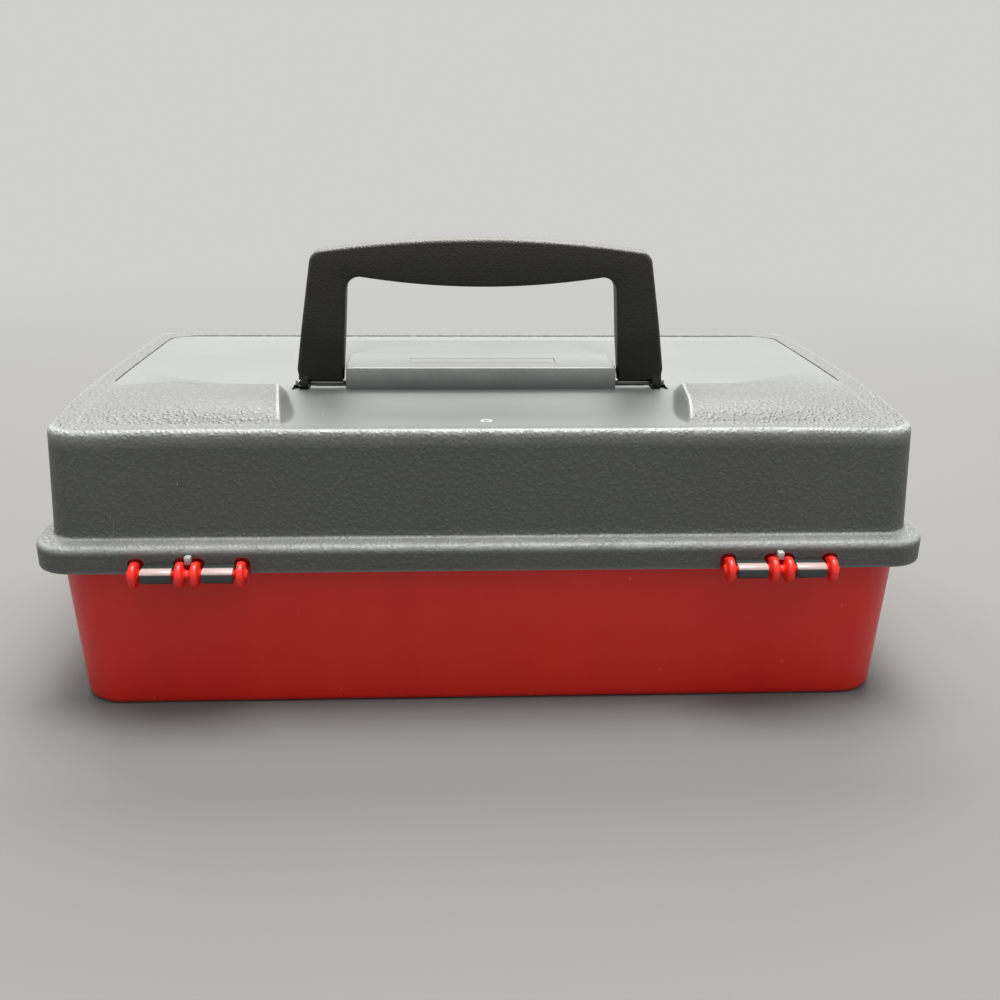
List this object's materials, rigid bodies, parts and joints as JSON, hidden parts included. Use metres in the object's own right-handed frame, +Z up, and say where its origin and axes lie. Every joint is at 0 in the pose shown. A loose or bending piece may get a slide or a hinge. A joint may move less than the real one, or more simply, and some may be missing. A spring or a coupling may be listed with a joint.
{
  "type": "tackle box",
  "caption": "Hinged-lid plastic tackle box with a sculpted lid, folding handle, snap hinges, front latch and cantilever trays that rise with the lid.",
  "frame": {"origin": "centre of the underside, on the surface it stands on", "axes": "+X to the right seen from the hinge side, -Y towards the hinges, +Y towards the latch, +Z up"},
  "size_m": [0.352, 0.222, 0.1786],
  "materials": {
    "tub_plastic": "satin red moulded polypropylene",
    "lid_plastic": "leather-grained grey polypropylene, satin on the panel",
    "handle_plastic": "fine pebble grain, black",
    "plated_steel": "zinc plated",
    "brass_wire": "drawn wire",
    "tray_plastic": "satin light grey"
  },
  "bodies": {
    "base": {"base_tub": "tub_plastic", "latch_pin": "plated_steel", "base_rivets_left": "plated_steel", "base_rivets_right": "plated_steel"},
    "lid": {"lid_shell": "lid_plastic", "handle_pin_left": "plated_steel", "handle_pin_right": "plated_steel", "lid_rivet_left": "plated_steel", "lid_rivet_right": "plated_steel"},
    "handle": {"handle": "handle_plastic"},
    "latch_lever": {"latch_lever": "handle_plastic"},
    "latch_bail": {"latch_bail": "brass_wire"},
    "front_arms": {"front_arm_left": "plated_steel", "front_arm_right": "plated_steel"},
    "rear_arms": {"rear_arm_left": "plated_steel", "rear_arm_right": "plated_steel"},
    "lid_links": {"lid_link_left": "plated_steel", "lid_link_right": "plated_steel"},
    "lower_tray": {"lower_tray": "tray_plastic", "lower_rivets_left": "plated_steel", "lower_rivets_right": "plated_steel", "lower_divider_1": "tray_plastic", "lower_divider_2": "tray_plastic", "lower_divider_3": "tray_plastic", "lower_divider_4": "tray_plastic", "lower_divider_5": "tray_plastic", "lower_divider_6": "tray_plastic"},
    "upper_tray": {"upper_tray": "tray_plastic", "upper_rivets_left": "plated_steel", "upper_rivets_right": "plated_steel", "upper_divider_1": "tray_plastic", "upper_divider_2": "tray_plastic", "upper_divider_3": "tray_plastic", "upper_divider_4": "tray_plastic", "upper_divider_5": "tray_plastic", "upper_divider_6": "tray_plastic"}
  },
  "joints": [
    {"name": "lid_hinge", "type": "hinge", "parent": "base", "child": "lid", "pos_m": [0, -0.106, 0.0635], "axis": [1, 0, 0], "range_deg": [0, 100]},
    {"name": "handle_fold", "type": "hinge", "parent": "lid", "child": "handle", "pos_m": [0, -0.0095, 0.1145], "axis": [1, 0, 0], "range_deg": [0, 70]},
    {"name": "latch_lever", "type": "hinge", "parent": "base", "child": "latch_lever", "pos_m": [0, 0.105, 0.054], "axis": [1, 0, 0], "range_deg": [0, 90]},
    {"name": "latch_bail", "type": "hinge", "parent": "latch_lever", "child": "latch_bail", "pos_m": [0, 0.104, 0.047], "axis": [1, 0, 0], "range_deg": [-90, 0]},
    {"name": "front_arms", "type": "hinge", "parent": "base", "child": "front_arms", "pos_m": [0, -0.0216, 0.0551], "axis": [1, 0, 0], "range_deg": [0, 100]},
    {"name": "rear_arms", "type": "hinge", "parent": "base", "child": "rear_arms", "pos_m": [0, -0.0616, 0.0551], "axis": [1, 0, 0], "range_deg": [0, 100]},
    {"name": "lower_tray", "type": "hinge", "parent": "front_arms", "child": "lower_tray", "pos_m": [0, 0.0267, 0.06804], "axis": [1, 0, 0], "range_deg": [-100, 0]},
    {"name": "upper_tray", "type": "hinge", "parent": "front_arms", "child": "upper_tray", "pos_m": [0, 0.07499, 0.08098], "axis": [1, 0, 0], "range_deg": [-100, 0]},
    {"name": "lid_links", "type": "hinge", "parent": "lid", "child": "lid_links", "pos_m": [0, -0.00941, 0.08938], "axis": [1, 0, 0], "range_deg": [-100, 0]}
  ],
  "couplings": [
    {"joint": "front_arms", "follows": "lid_hinge", "ratio": 1},
    {"joint": "rear_arms", "follows": "lid_hinge", "ratio": 1},
    {"joint": "lower_tray", "follows": "lid_hinge", "ratio": -1},
    {"joint": "upper_tray", "follows": "lid_hinge", "ratio": -1},
    {"joint": "lid_links", "follows": "lid_hinge", "ratio": -1},
    {"joint": "latch_bail", "follows": "latch_lever", "ratio": -1}
  ]
}
